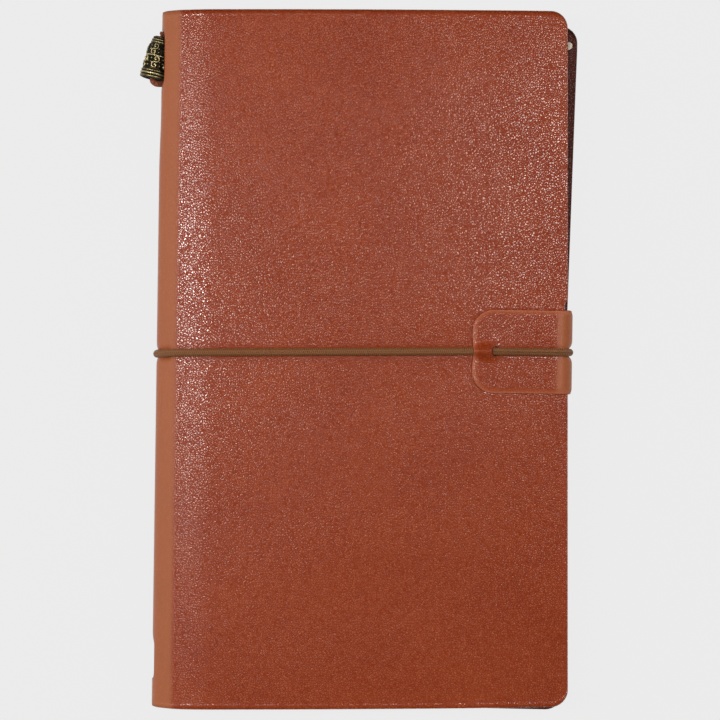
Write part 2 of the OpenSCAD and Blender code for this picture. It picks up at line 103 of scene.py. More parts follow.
# Extra bulge of the spine over the flat CAD wall, and how much of it is lost near the head
SPINE_BOW = 1.05
BOW_LOSS = 0.35

# Closure: PRESS is how deep the cord and the tab sink into the leather below them
CORD_R = 1.2
CORD_Y = 3.9
FRONT_ANCHOR_Y = CORD_Y - 2.4
BACK_ANCHOR_Y = CORD_Y - 1.0
PRESS = 0.3
CORD_RISE = CORD_R - PRESS
TAB_THICK = 1.2
TAB_RISE = TAB_THICK - PRESS
TAB_CORD_RISE = TAB_RISE + CORD_RISE
TAB_TIP = FORE_X - 30.6
TAB_TIP_R = 7.0
TAB_H = (TAB_BOX[1].y - TAB_BOX[0].y) / MM
TAB_OUTER = FORE_X + 1.6
TAB_CORNER = 4.6
HOLE_X = TAB_TIP + 7.4
HOLE_R = 1.55
# Where the front and back runs of the cord end, hidden under the tab
STRAND_END = TAB_TIP + 3.5

# Charm and spine slots
BEAD_R = 4.4
BEAD_LEN = 13.6
BEAD_LEAN = math.radians(13)
BEAD_POS = np.array((-1.6, 95.6, TOP - 9.6))
BEAD_DIR = np.array((math.sin(BEAD_LEAN), math.cos(BEAD_LEAN), 0.0))
CHARM_R = 0.95
CHARM_Y = 86.95
HEAD_SLOT = (86.0, 105.0)
FOOT_SLOT = (-102.1, -87.7)
SLOT_LOW_Z = 5.5
SLOT_CORNER_R = 3.0
HEAD_SLOT_TOP = TOP - 5.2
FOOT_SLOT_TOP = TOP - 5.9


def smooth(x, a, b):
    """0 below a, 1 above b, and a smooth change between."""
    t = np.clip((np.asarray(x, float) - a) / (b - a), 0, 1)
    return t * t * (3 - 2 * t)


# Where the round upper corner of the spine gives way to the front's face
EDGE_ANGLE = 122
EDGE_START = (HIGH_C[0] + HIGH_R * math.cos(math.radians(EDGE_ANGLE)),
              HIGH_C[1] + HIGH_R * math.sin(math.radians(EDGE_ANGLE)))


def crown_table():
    """Heights of the front's face: a firm edge by the spine, a soft crown, then a quickening fall."""
    edge_slope, edge_easing = 0.695, 0.05
    crown_slope, crown_easing, crown_from = 0.25, 0.0225, 6.6
    power = 1.2
    x = np.linspace(EDGE_START[0], 140, 2400)
    edge = 1 - smooth(x, 5.4, 7.0)
    t = np.clip((x - CROWN_END) / (FORE_X - CROWN_END), 0, None)
    fall = -FRONT_FALL * (1 + power) / (FORE_X - CROWN_END) * t**power
    slope = edge * (edge_slope - edge_easing * (x - EDGE_START[0])) + (1 - edge) * np.maximum(
        crown_slope - crown_easing * (x - crown_from), fall)
    z = EDGE_START[1] + np.concatenate([[0], np.cumsum((slope[1:] + slope[:-1]) / 2 * np.diff(x))])
    return x, z


CROWN_X, CROWN_Z = crown_table()


def crown(x):
    """Height of the front cover's outer face."""
    return np.interp(np.asarray(x, float), CROWN_X, CROWN_Z)


# ---------------------------------------------------------------- mesh helpers
def to_frame(points):
    """Working-frame points in millimetres to row-frame points in metres."""
    return np.asarray(points, float) * MM + np.array(ORIGIN)


def make_object(name, points, faces, smooth_shade=True):
    """A mesh object from working-frame points."""
    mesh = bpy.data.meshes.new(name)
    mesh.from_pydata(to_frame(points).tolist(), [], faces)
    mesh.validate()
    mesh.update()
    if smooth_shade:
        mesh.polygons.foreach_set("use_smooth", [True] * len(mesh.polygons))
    obj = bpy.data.objects.new(name, mesh)
    bpy.context.scene.collection.objects.link(obj)
    return obj


def store(obj, name, values):
    """Stores a number or a vector per vertex, for the materials to read."""
    values = np.asarray(values, np.float32)
    kind = "FLOAT" if values.ndim == 1 else "FLOAT_VECTOR"
    attribute = obj.data.attributes.new(name, kind, "POINT")
    attribute.data.foreach_set("value" if values.ndim == 1 else "vector", values.ravel())


def grid_faces(nu, nv, offset=0, flip=False, wrap=False):
    """Quads over a grid of nu by nv points; wrap joins its last column to its first."""
    i, j = np.meshgrid(np.arange(nu - 1), np.arange(nv if wrap else nv - 1), indexing="ij")
    k = (j + 1) % nv
    quads = np.stack([i * nv + j, (i + 1) * nv + j, (i + 1) * nv + k, i * nv + k], -1).reshape(-1, 4)
    if flip:
        quads = quads[:, ::-1]
    return (quads + offset).tolist()


def border(nu, nv):
    """Indices round the edge of a grid, in order."""
    a = list(range(nv))
    b = [i * nv + nv - 1 for i in range(1, nu)]
    c = [(nu - 1) * nv + j for j in range(nv - 2, -1, -1)]
    d = [i * nv for i in range(nu - 2, 0, -1)]
    return a + b + c + d


def slab(name, outer, rim, inner, grain):
    """A closed sheet between two grids; its edge passes through the rim grid's border."""
    nu, nv = outer.shape[:2]
    n = nu * nv
    ring = border(nu, nv)
    points = np.concatenate([outer.reshape(-1, 3), inner.reshape(-1, 3), rim.reshape(-1, 3)[ring]])
    faces = grid_faces(nu, nv) + grid_faces(nu, nv, n, flip=True)
    m = len(ring)
    for k in range(m):
        after = (k + 1) % m
        faces.append((ring[after], ring[k], 2 * n + k, 2 * n + after))
        faces.append((2 * n + after, 2 * n + k, n + ring[k], n + ring[after]))
    obj = make_object(name, points, faces)
    flat = grain.reshape(-1, 3)
    store(obj, "grain", np.concatenate([flat, flat, flat[ring]]))
    edge = np.zeros(len(points))
    edge[2 * n:] = 1
    store(obj, "edge", edge)
    return obj


def tube(name, path, radius, sides, up=(0, 1, 0)):
    """A round cord along points; radius may vary along it. Stores length and angle for its weave."""
    p = np.asarray(path, float)
    d = np.gradient(p, axis=0)
    d /= np.linalg.norm(d, axis=1)[:, None]
    s = np.cross(d, np.asarray(up, float))
    s /= np.linalg.norm(s, axis=1)[:, None]
    n = np.cross(s, d)
    r = np.broadcast_to(np.asarray(radius, float), (len(p),))
    a = np.arange(sides) * 2 * math.pi / sides
    ring = np.cos(a)[None, :, None] * s[:, None] + np.sin(a)[None, :, None] * n[:, None]
    points = (p[:, None] + r[:, None, None] * ring).reshape(-1, 3)
    faces = grid_faces(len(p), sides, wrap=True)
    along = np.concatenate([[0], np.cumsum(np.linalg.norm(np.diff(p, axis=0), axis=1))])
    grain = np.stack([np.repeat(along, sides), np.tile(a, len(p)), np.zeros(len(points))], -1)
    faces.append(list(range(sides - 1, -1, -1)))
    faces.append([(len(p) - 1) * sides + k for k in range(sides)])
    obj = make_object(name, points, faces)
    store(obj, "grain", grain)
    return obj


def along_curve(points, step):
    """Points resampled at an even step along a smooth curve through the given ones."""
    p = np.asarray(points, float)
    q = np.concatenate([[2 * p[0] - p[1]], p, [2 * p[-1] - p[-2]]])
    fine = []
    for i in range(1, len(q) - 2):
        t = np.linspace(0, 1, 24, endpoint=False)[:, None]
        a, b, c, e = q[i - 1], q[i], q[i + 1], q[i + 2]
        fine.append(0.5 * (2 * b + (c - a) * t + (2 * a - 5 * b + 4 * c - e) * t**2
                           + (3 * b - a - 3 * c + e) * t**3))
    fine = np.concatenate(fine + [p[-1:]])
    s = np.concatenate([[0], np.cumsum(np.linalg.norm(np.diff(fine, axis=0), axis=1))])
    stops = np.linspace(0, s[-1], max(3, int(s[-1] / step) + 1))
    return np.stack([np.interp(stops, s, fine[:, k]) for k in range(3)], -1)


def even(a, b, step):
    """Evenly spaced numbers from a to b, about a step apart."""
    return np.linspace(a, b, max(2, int(round(abs(b - a) / step)) + 1))


def cut(obj, cutter):
    """Cuts the cutter's shape out of obj, keeping the stored values, and removes the cutter."""
    modifier = obj.modifiers.new("cut", "BOOLEAN")
    modifier.operation = "DIFFERENCE"
    modifier.object = cutter
    modifier.solver = "EXACT"
    graph = bpy.context.evaluated_depsgraph_get()
    mesh = bpy.data.meshes.new_from_object(obj.evaluated_get(graph))
    obj.modifiers.clear()
    old = obj.data
    obj.data = mesh
    bpy.data.meshes.remove(old)
    bpy.data.objects.remove(cutter)


def arc(centre, radius, start, end, steps):
    """Points round a circle between two angles in degrees."""
    a = np.radians(np.linspace(start, end, steps + 1))
    return np.stack([centre[0] + radius * np.cos(a), centre[1] + radius * np.sin(a)], -1)


def ripple(x, y, seed):
    """A gentle unevenness, about one either way, from a few crossing waves."""
    rng = np.random.default_rng(seed)
    total = 0
    for _ in range(7):
        a, wave, phase = rng.uniform(0, math.pi), rng.uniform(28, 90), rng.uniform(0, 2 * math.pi)
        total = total + np.sin((x * math.cos(a) + y * math.sin(a)) * 2 * math.pi / wave + phase)
    return total / 4


# ---------------------------------------------------------------- material helpers
class Graph:
    """A short way to write a material's nodes."""

    def __init__(self, name):
        self.material = bpy.data.materials.new(name)
        self.material.use_nodes = True
        self.tree = self.material.node_tree
        self.shader = self.tree.nodes["Principled BSDF"]

    def node(self, kind, settings=None, **inputs):
        made = self.tree.nodes.new(kind)
        for key, value in (settings or {}).items():
            setattr(made, key, value)
        for key, value in inputs.items():
            self.put(made.inputs[key.replace("_", " ")], value)
        return made

    def put(self, socket, value):
        """Links a socket to value, or sets it to a constant."""
        if isinstance(value, bpy.types.NodeSocket):
            self.tree.links.new(value, socket)
        else:
            socket.default_value = value

    def math(self, operation, a, b=0.0, c=0.0):
        made = self.tree.nodes.new("ShaderNodeMath")
        made.operation = operation
        for socket, value in zip(made.inputs, (a, b, c)):
            self.put(socket, value)
        return made.outputs[0]

    def ramp(self, value, stops):
        """Colours between (position, colour) stops."""
        made = self.tree.nodes.new("ShaderNodeValToRGB")
        made.color_ramp.elements[0].position = stops[0][0]
        made.color_ramp.elements[0].color = (*stops[0][1], 1)
        made.color_ramp.elements[1].position = stops[-1][0]
        made.color_ramp.elements[1].color = (*stops[-1][1], 1)
        for position, colour in stops[1:-1]:
            made.color_ramp.elements.new(position).color = (*colour, 1)
        self.put(made.inputs[0], value)
        return made.outputs["Color"]

    def mix(self, factor, a, b):
        made = self.tree.nodes.new("ShaderNodeMix")
        made.data_type = "RGBA"
        self.put(made.inputs["Factor"], factor)
        self.put(made.inputs["A"], a if isinstance(a, bpy.types.NodeSocket) else (*a, 1))
        self.put(made.inputs["B"], b if isinstance(b, bpy.types.NodeSocket) else (*b, 1))
        return made.outputs["Result"]

    def attribute(self, name):
        return self.node("ShaderNodeAttribute", {"attribute_name": name}).outputs

    def noise(self, vector, scale, detail=3.0, roughness=0.55):
        made = self.node("ShaderNodeTexNoise", Scale=scale, Detail=detail, Roughness=roughness)
        self.put(made.inputs["Vector"], vector)
        return made.outputs["Fac"]

    def bump(self, height, strength, distance):
        made = self.node("ShaderNodeBump", Strength=strength, Distance=distance)
        self.put(made.inputs["Height"], height)
        return made.outputs["Normal"]

    def shade(self, **inputs):
        for key, value in inputs.items():
            if isinstance(value, tuple) and len(value) == 3:
                value = (*value, 1)
            self.put(self.shader.inputs[key.replace("_", " ")], value)
        return self.material


def rgb(r, g, b):
    """A colour from 0-255 display values, as the shader's linear ones."""
    return tuple((c / 255 / 12.92) if c <= 10 else ((c / 255 + 0.055) / 1.055) ** 2.4 for c in (r, g, b))


CELLS_PER_MM = 1.35
GRAIN_DEPTH = 0.00013
# Painted highlight: the colour that the tops of the grain are mixed towards, standing in for glints of light
PAINTED_GLINT_COLOUR = rgb(190, 100, 58)
# Painted light: the paler colour of the strip along the spine and of the tab's fold, standing in for the
# light that these steep faces catch
STRIP_PAINTED_LIGHT = rgb(190, 136, 84)


def leather_material(name, dark, light, edge_colour, gloss=0.15, painted_light=0.44, relief=0.21):
    """Pebble grain on a glossy finish, with worn cut edges and a smoother strip along the spine.

    Reads 'grain' (mm), 'edge' and 'strip'. The tops of the grain are painted lighter as glints and its
    creases painted darker as shade, both scaled by one argument; relief lifts the tops. The strip is also
    painted paler, as painted light.
    """
    g = Graph(name)
    where = g.attribute("grain")["Vector"]
    warp = g.node("ShaderNodeTexNoise", Scale=0.9, Detail=2.0)
    g.put(warp.inputs["Vector"], where)
    bent = g.node("ShaderNodeVectorMath", {"operation": "MULTIPLY_ADD"})
    g.put(bent.inputs[0], warp.outputs["Color"])
    bent.inputs[1].default_value = (0.7, 0.7, 0.7)
    g.put(bent.inputs[2], where)
    cells = g.node("ShaderNodeTexVoronoi", {"feature": "DISTANCE_TO_EDGE"}, Scale=CELLS_PER_MM)
    g.put(cells.inputs["Vector"], bent.outputs[0])
    shade = g.node("ShaderNodeTexVoronoi", {"feature": "F1"}, Scale=CELLS_PER_MM)
    g.put(shade.inputs["Vector"], bent.outputs[0])
    own = g.node("ShaderNodeSeparateColor")
    g.put(own.inputs[0], shade.outputs["Color"])
    bumps = g.node("ShaderNodeMapRange", {"interpolation_type": "SMOOTHSTEP"}, From_Min=0.0,
                   From_Max=0.36, Value=cells.outputs["Distance"]).outputs[0]
    fine = g.noise(where, 2.2, 2.0, 0.6)
    broad = g.noise(where, 0.035, 3.0, 0.5)
    patch = g.noise(where, 0.28, 4.0, 0.6)
    height = g.math("ADD", bumps, g.math("MULTIPLY", fine, 0.8))
    height = g.math("ADD", height, g.math("MULTIPLY", own.outputs[0], 0.35))
    strip = g.attribute("strip")["Fac"]
    off_strip = g.math("SUBTRACT", 1.0, strip)
    height = g.math("MULTIPLY", height, g.math("MULTIPLY_ADD", strip, -0.85, 1.0))
    tone = g.math("ADD", g.math("MULTIPLY", broad, 0.6), g.math("MULTIPLY", patch, 0.4))
    colour = g.ramp(tone, [(0.32, dark), (0.68, light)])
    # Painted highlight: the tops of the grain are mixed towards the glint colour, more on some cells than on
    # others, standing in for glints of light
    painted_glint_mask = g.math("MULTIPLY", bumps, g.math("MULTIPLY_ADD", own.outputs[1], 0.75, 0.1))
    colour = g.mix(g.math("MULTIPLY", painted_glint_mask, painted_light), colour, PAINTED_GLINT_COLOUR)
    hollow = g.math("MULTIPLY", g.math("SUBTRACT", 1.0, bumps), off_strip)
    # Painted shade: the creases of the grain are darkened
    colour = g.mix(g.math("MULTIPLY", hollow, 0.5 * painted_light), colour, tuple(0.45 * c for c in dark))
    # Painted light: the strip is mixed towards a paler colour, standing in for the light its steep faces
    # catch
    painted_strip_light = tuple(0.5 * (c + e) for c, e in zip(light, STRIP_PAINTED_LIGHT))
    colour = g.mix(g.math("MULTIPLY", strip, 0.45), colour, painted_strip_light)
    edge = g.math("POWER", g.attribute("edge")["Fac"], 1.6)
    colour = g.mix(edge, colour, edge_colour)
    rough = g.math("MULTIPLY_ADD", patch, 0.14, gloss - 0.05)
    rough = g.math("MULTIPLY_ADD", strip, 0.25, rough)
    rough = g.math("MULTIPLY_ADD", edge, 0.2, rough)
    rough = g.math("MULTIPLY_ADD", hollow, 0.3, rough)
    shine = g.math("MULTIPLY_ADD", hollow, -0.74, 0.82)
    shine = g.math("MULTIPLY", shine, g.math("MULTIPLY_ADD", strip, -0.5, 1.0))
    normal = g.bump(height, relief, GRAIN_DEPTH)
    return g.shade(Base_Color=colour, Roughness=rough, Normal=normal, Specular_IOR_Level=shine)


def elastic_material(name, dark, light, pitch=0.62, strands=8):
    """Braided elastic: crossing bands round a cord. Reads 'grain' as (length mm, angle)."""
    g = Graph(name)
    parts = g.node("ShaderNodeSeparateXYZ")
    g.put(parts.inputs[0], g.attribute("grain")["Vector"])
    along, angle = parts.outputs[0], parts.outputs[1]
    turn = g.math("MULTIPLY", along, 2 * math.pi / pitch)
    lift = g.math("MULTIPLY", angle, strands / 2)
    one = g.math("SINE", g.math("ADD", turn, lift))
    two = g.math("SINE", g.math("SUBTRACT", turn, lift))
    weave = g.math("MAXIMUM", one, two)
    where = g.node("ShaderNodeTexCoord").outputs["Object"]
    fuzz = g.noise(where, 5200.0, 3.0, 0.7)
    # Painted shade: the colour follows the braid, darker in its dips than on the strands' tops; the fuzz adds
    # random fibre tone
    level = g.math("ADD", g.math("MULTIPLY_ADD", weave, 0.35, 0.45), g.math("MULTIPLY", fuzz, 0.35))
    colour = g.ramp(level, [(0.15, dark), (0.95, light)])
    height = g.math("ADD", weave, g.math("MULTIPLY", fuzz, 0.8))
    return g.shade(Base_Color=colour, Roughness=0.62, Normal=g.bump(height, 0.8, 0.00012),
                   Sheen_Weight=0.05, Sheen_Roughness=0.4, Specular_IOR_Level=0.3)


def plain_material(name, colour, roughness, metallic=0.0, bump=0.2, scale=900.0, spread=0.12, alpha=1.0):
    """A moulded, cast or drawn surface with slight mottling and fine unevenness."""
    g = Graph(name)
    where = g.node("ShaderNodeTexCoord").outputs["Object"]
    mottle = g.noise(where, scale / 6, 4.0, 0.6)
    fine = g.noise(where, scale, 3.0, 0.6)
    shade = g.ramp(mottle, [(0.3, tuple(c * (1 - spread) for c in colour)),
                            (0.7, tuple(min(1, c * (1 + spread)) for c in colour))])
    rough = g.math("MULTIPLY_ADD", fine, 0.12, roughness - 0.06)
    return g.shade(Base_Color=shade, Roughness=rough, Metallic=metallic, Alpha=alpha,
                   Normal=g.bump(fine, bump, 0.0001))


def paper_material():
    """Stacked sheets: thin dark gaps between pages, seen on the block's edges."""
    g = Graph("page_edges")
    where = g.node("ShaderNodeTexCoord").outputs["Object"]
    sheets = g.node("ShaderNodeMapping")
    g.put(sheets.inputs["Vector"], where)
    sheets.inputs["Scale"].default_value = (25.0, 25.0, 5200.0)
    layer = g.noise(sheets.outputs[0], 1.0, 3.0, 0.7)
    # Painted shade: the darker bands stand for the shade in the thin gaps between pages
    colour = g.ramp(layer, [(0.35, rgb(196, 184, 158)), (0.6, rgb(240, 233, 214))])
    return g.shade(Base_Color=colour, Roughness=0.85, Normal=g.bump(layer, 0.5, 0.00012))


def kraft_material():
    """Plain brown card with scattered fibres."""
    g = Graph("kraft_card")
    where = g.node("ShaderNodeTexCoord").outputs["Object"]
    fibres = g.noise(where, 1500.0, 6.0, 0.75)
    cloud = g.noise(where, 60.0, 3.0, 0.5)
    level = g.math("ADD", g.math("MULTIPLY", fibres, 0.6), g.math("MULTIPLY", cloud, 0.4))
    colour = g.ramp(level, [(0.36, rgb(150, 116, 76)), (0.64, rgb(193, 158, 112))])
    return g.shade(Base_Color=colour, Roughness=0.82, Normal=g.bump(fibres, 0.3, 0.0001))


def bronze_material():
    """Old cast bronze: bright worn relief, dark oxide in the recesses. Reads 'relief'."""
    g = Graph("bronze")
    where = g.node("ShaderNodeTexCoord").outputs["Object"]
    grit = g.noise(where, 2600.0, 4.0, 0.65)
    stain = g.noise(where, 500.0, 4.0, 0.6)
    level = g.math("ADD", g.attribute("relief")["Fac"], g.math("MULTIPLY_ADD", stain, 0.5, -0.25))
    level = g.math("ADD", level, g.math("MULTIPLY_ADD", grit, 0.3, -0.15))
    colour = g.ramp(level, [(0.26, rgb(30, 24, 12)), (0.52, rgb(92, 79, 46)), (0.85, rgb(206, 190, 140))])
    rough = g.math("MULTIPLY_ADD", level, -0.2, 0.5)
    return g.shade(Base_Color=colour, Metallic=0.85, Roughness=rough, Normal=g.bump(grit, 0.35, 0.00008))


LEATHER_DARK = rgb(130, 44, 9)
LEATHER_LIGHT = rgb(142, 54, 14)
COVER_LEATHER = leather_material("cover_leather", LEATHER_DARK, LEATHER_LIGHT, rgb(112, 44, 28))
TAB_LEATHER = leather_material("tab_leather", LEATHER_DARK, LEATHER_LIGHT, rgb(164, 86, 54), relief=0.25)
LINING_LEATHER = leather_material("lining", rgb(76, 30, 22), rgb(96, 42, 31), rgb(92, 42, 32),
                                  gloss=0.5, painted_light=0.15)
CLOSURE_ELASTIC = elastic_material("closure_elastic", rgb(62, 36, 14), rgb(134, 84, 44))
STRAND_ELASTIC = elastic_material("strand_elastic", rgb(40, 24, 18), rgb(84, 54, 42), pitch=0.5)
WAXED_CORD = elastic_material("waxed_cord", rgb(66, 30, 16), rgb(132, 70, 42), pitch=1.3, strands=4)
BRONZE = bronze_material()
PAPER = paper_material()
KRAFT = kraft_material()
STAPLE_STEEL = plain_material("staple_wire", rgb(190, 190, 194), 0.28, metallic=1.0)
CLEAR_FILM = plain_material("clear_film", rgb(214, 222, 222), 0.14, spread=0.03, bump=0.5, scale=120.0,
                            alpha=0.38)
ZIP_TAPE = plain_material("zip_tape", rgb(150, 140, 122), 0.85, bump=0.8, scale=2600.0)
ZIP_PLASTIC = plain_material("zip_plastic", rgb(202, 190, 168), 0.42, spread=0.05)


def dress(obj, material, body, slot, *nodes):
    """The last steps of every piece: its material, its body and the CAD nodes it stands for; slot is not
    used.
    """
    obj.data.materials.clear()
    obj.data.materials.append(material)
    if body is not None:
        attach(obj, body)
    if nodes:
        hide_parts(*nodes)
    return obj


# ---------------------------------------------------------------- cover: one sheet round the spine
TAB_LOW_Y = CORD_Y - TAB_H / 2
TAB_HIGH_Y = CORD_Y + TAB_H / 2
TAB_MID_X = TAB_OUTER - TAB_CORNER


def under_tab(y, margin=0.0, soft=1.2):
    """1 where the tab lies over a cover, 0 away from it."""
    return smooth(y, TAB_LOW_Y - margin - soft, TAB_LOW_Y - margin) * (
        1 - smooth(y, TAB_HIGH_Y + margin, TAB_HIGH_Y + margin + soft))


def pinch(y):
    """How far the cord pulls the fore edge in, under the tab."""
    return 1.5 * np.exp(-(((y - CORD_Y) / 2.2) ** 2))


def front_fore(y):
    """The front cover's fore edge."""
    return FORE_X - FRONT_SKEW * y / HALF_LEN - 0.85 * under_tab(y, 0.2) - pinch(y)


def back_fore(y):
    """The back cover's fore edge, which shows past the front's and more so towards the head."""
    at_cord = 0.55
    at_head = BACK_BOX[1].x / MM - ORIGIN.x / MM - FORE_X
    toward_head = at_cord + (at_head - at_cord) * np.clip((y - CORD_Y) / 102, 0, 1)
    toward_foot = at_cord + 0.3 * np.clip((CORD_Y - y) / 107, 0, 1)
    past = np.where(y > CORD_Y, toward_head, toward_foot)
    return FORE_X + past - 1.1 * under_tab(y, 0.2) - pinch(y)


def cord_y_on_front(x):
    return FRONT_ANCHOR_Y + 0.5 + (CORD_Y - FRONT_ANCHOR_Y - 0.5) * x / STRAND_END


def cord_y_on_back(x):
    return BACK_ANCHOR_Y + (CORD_Y - BACK_ANCHOR_Y) * x / STRAND_END


def inside_tab(side, tip):
    """Distance in from the tab's round-cornered outline, given those from its side and its tip."""
    round_corner = TAB_TIP_R - np.hypot(np.clip(TAB_TIP_R - side, 0, None), np.clip(TAB_TIP_R - tip, 0, None))
    return np.minimum(np.minimum(side, tip), round_corner)


def dented(x, y, cord_line):
    """How deep the cord and the tab press into a cover."""
    cord_mark = np.exp(-(((y - cord_line) / 1.25) ** 2)) * (1 - smooth(x, STRAND_END - 2, STRAND_END + 2))
    tab_mark = smooth(inside_tab(TAB_H / 2 - np.abs(y - CORD_Y), x - TAB_TIP), 0.0, 1.0)
    crease_r = 3.4
    crease = crease_r - np.sqrt(np.clip(crease_r**2 - np.clip(x - TAB_MID_X, 0, 3.2) ** 2, 0, None))
    return np.maximum(PRESS * cord_mark, (PRESS + crease) * tab_mark)


# Positions of the sheets' rows along the spine, closer together at the cord and the tab
ROWS = np.unique(np.concatenate([
    even(-1, 1, 0.016) * HALF_LEN, even(TAB_LOW_Y - 4, TAB_HIGH_Y + 4, 0.45),
    even(CORD_Y - 6, CORD_Y + 4, 0.25)])) / HALF_LEN


def rounded_corner(gap):
    """How much shorter a column is at this distance from the rounded fore edge."""
    d = np.clip(CORNER_R - gap, 0, CORNER_R)
    return CORNER_R - np.sqrt(np.clip(CORNER_R**2 - d**2, 0, None))


def cover_panel(front, xs, y_line, depth, inset):
    """The columns of the sheet's front or back, from the spine to its rounded fore edge."""
    fore = (front_fore(y_line) if front else back_fore(y_line)) - inset
    start, shift = (FOLD_X, FRONT_RISE) if front else (LOW_R, -BACK_DROP)
    corner = CORNER_R * (1 - np.cos(np.linspace(0, math.pi / 2, 9)))
    no_corner = 99.0
    inner = [(np.full_like(y_line, x), np.full_like(y_line, no_corner)) for x in xs]
    outer = [(fore - c, np.full_like(y_line, c)) for c in corner[::-1]]
    made = []
    for x, gap in inner + outer:
        y = y_line + shift * np.clip((x - start) / (FORE_X - start), 0, 1)
        y = y - np.sign(ROWS) * rounded_corner(gap) * np.abs(ROWS) ** 6
        if front:
            roll = (0.35 if depth < SKIN / 2 else 0.2) * smooth(x, 106, 131) ** 1.5
            unevenness = 0.10 * ripple(x, y, 3) * smooth(x, 20, 45)
            z = crown(x) - roll - dented(x, y, cord_y_on_front(x)) + unevenness - depth
        else:
            unevenness = 0.06 * ripple(x, y, 5) * smooth(x, 12, 30)
            z = BACK + dented(x, y, cord_y_on_back(x)) - unevenness + depth
            z = np.maximum(z, BACK - 0.12 + depth)
        made.append(np.stack([x, y, z], -1))
    return made


def spine_outline(depth):
    """The sheet's outline from the back cover round the spine to the crown, at a depth below its face."""
    low = [(LOW_R + (LOW_R - depth) * math.cos(a), BACK + LOW_R + (LOW_R - depth) * math.sin(a))
           for a in np.radians(np.linspace(-96, -180, 10))]
    wall = [(0.7 * t + depth, BACK + LOW_R + (HIGH_C[1] - BACK - LOW_R) * t) for t in (0.2, 0.4, 0.6, 0.8)]
    high = [tuple(p) for p in arc(HIGH_C, HIGH_R - depth, 180, EDGE_ANGLE, 10)]
    over = []
    for x in even(3.2, CROWN_END, 0.46):
        tilt = math.atan2(float(crown(x + 0.1) - crown(x - 0.1)), 0.2)
        over.append((x + depth * math.sin(tilt), float(crown(x)) - depth * math.cos(tilt)))
    return low + wall + high + over


def cover_grid(depth, inset):
    """The folded sheet at a depth below its outer face: back, round the spine, over the crown, front."""
    by_tab_tip = even(95, 103, 0.6)
    far = np.concatenate([even(6, 14, 1.6), even(15.5, 94, 3), by_tab_tip, even(104, 121, 1.3)])
    near = np.concatenate([even(17.6, 94, 2.6), by_tab_tip, even(104, 121, 1.1)])
    y_line = ROWS * (HALF_LEN - inset)
    back = cover_panel(False, far, y_line, depth, inset)
    front = cover_panel(True, near, y_line, depth, inset)
    bow = SPINE_BOW - BOW_LOSS * smooth(y_line, 60, 80)
    spine = []
    for x, z in spine_outline(depth):
        deep = PRESS + 0.75 * float(x < 4.5) * float(smooth(z, BACK + 1, BACK + 5))
        mark = deep * np.exp(-(((y_line - FRONT_ANCHOR_Y - 0.25) / 1.7) ** 2))
        toward = np.array([HIGH_C[0] - x, HIGH_C[1] - 3 - z])
        toward /= np.linalg.norm(toward)
        y = y_line + FRONT_RISE * np.clip((x - FOLD_X) / (FORE_X - FOLD_X), 0, 1) * (z > 12)
        swell = bow * float(smooth(z, BACK, BACK + 6) * (1 - smooth(z, HIGH_C[1] - 1, TOP - 2))) * (x < 5)
        spine.append(np.stack([x + toward[0] * mark - swell, y, z + toward[1] * mark], -1))
    return np.stack(back[::-1] + spine + front)


def cover_sheet(name, depth, thick):
    """A whole bending sheet, with the grain's coordinates measured along it from the spine."""
    outer = cover_grid(depth, 0.22)
    inner = cover_grid(depth + thick, 0.22)
    rim = (cover_grid(depth, 0.0) + cover_grid(depth + thick, 0.0)) / 2
    step = np.linalg.norm(np.diff(outer, axis=0), axis=2)
    along = np.concatenate([np.zeros((1, outer.shape[1])), np.cumsum(step, axis=0)])
    spine = int(np.argmin(np.abs(outer[:, 0, 2] - 12) + outer[:, 0, 0]))
    grain = np.stack([along - along[spine], outer[..., 1], np.zeros(outer.shape[:2])], -1)
    made = slab(name, outer, rim, inner, grain)
    # The strip along the spine's side is smoother, and is painted paler as the light its steep faces catch
    strip = (1 - smooth(outer[..., 0], 5.0, 7.0)) * smooth(outer[..., 2], BACK - 1, BACK + 2)
    ring = border(*outer.shape[:2])
    store(made, "strip", np.concatenate([strip.ravel(), strip.ravel(), strip.ravel()[ring]]))
    return made


def rounded_slot(ends, high):
    """A cutter for one of the spine's slots."""
    r, low = SLOT_CORNER_R, SLOT_LOW_Z
    ring = np.concatenate([
        arc((ends[1] - r, high - r), r, 0, 90, 8), arc((ends[0] + r, high - r), r, 90, 180, 8),
        arc((ends[0] + r, low + r), r, 180, 270, 8), arc((ends[1] - r, low + r), r, 270, 360, 8)])
    return prism("slot_cutter", ring, -3.0, 5.0)


def prism(name, ring, x0, x1):
    """A solid with a Y-Z outline between two X positions, for cutting."""
    n = len(ring)
    points = [(x0, y, z) for y, z in ring] + [(x1, y, z) for y, z in ring]
    faces = [tuple(range(n)), tuple(range(2 * n - 1, n - 1, -1))]
    faces += [(k, n + k, n + (k + 1) % n, (k + 1) % n) for k in range(n)]
    return make_object(name, points, [f[::-1] for f in faces], smooth_shade=False)


def rod(name, x, y, z0, z1, radius):
    """An upright round solid, for cutting."""
    ring = arc((x, y), radius, 0, 352.5, 47)
    n = len(ring)
    points = [(a, b, z0) for a, b in ring] + [(a, b, z1) for a, b in ring]
    faces = [tuple(range(n - 1, -1, -1)), tuple(range(n, 2 * n))]
    faces += [(k, (k + 1) % n, n + (k + 1) % n, n + k) for k in range(n)]
    return make_object(name, points, faces, smooth_shade=False)


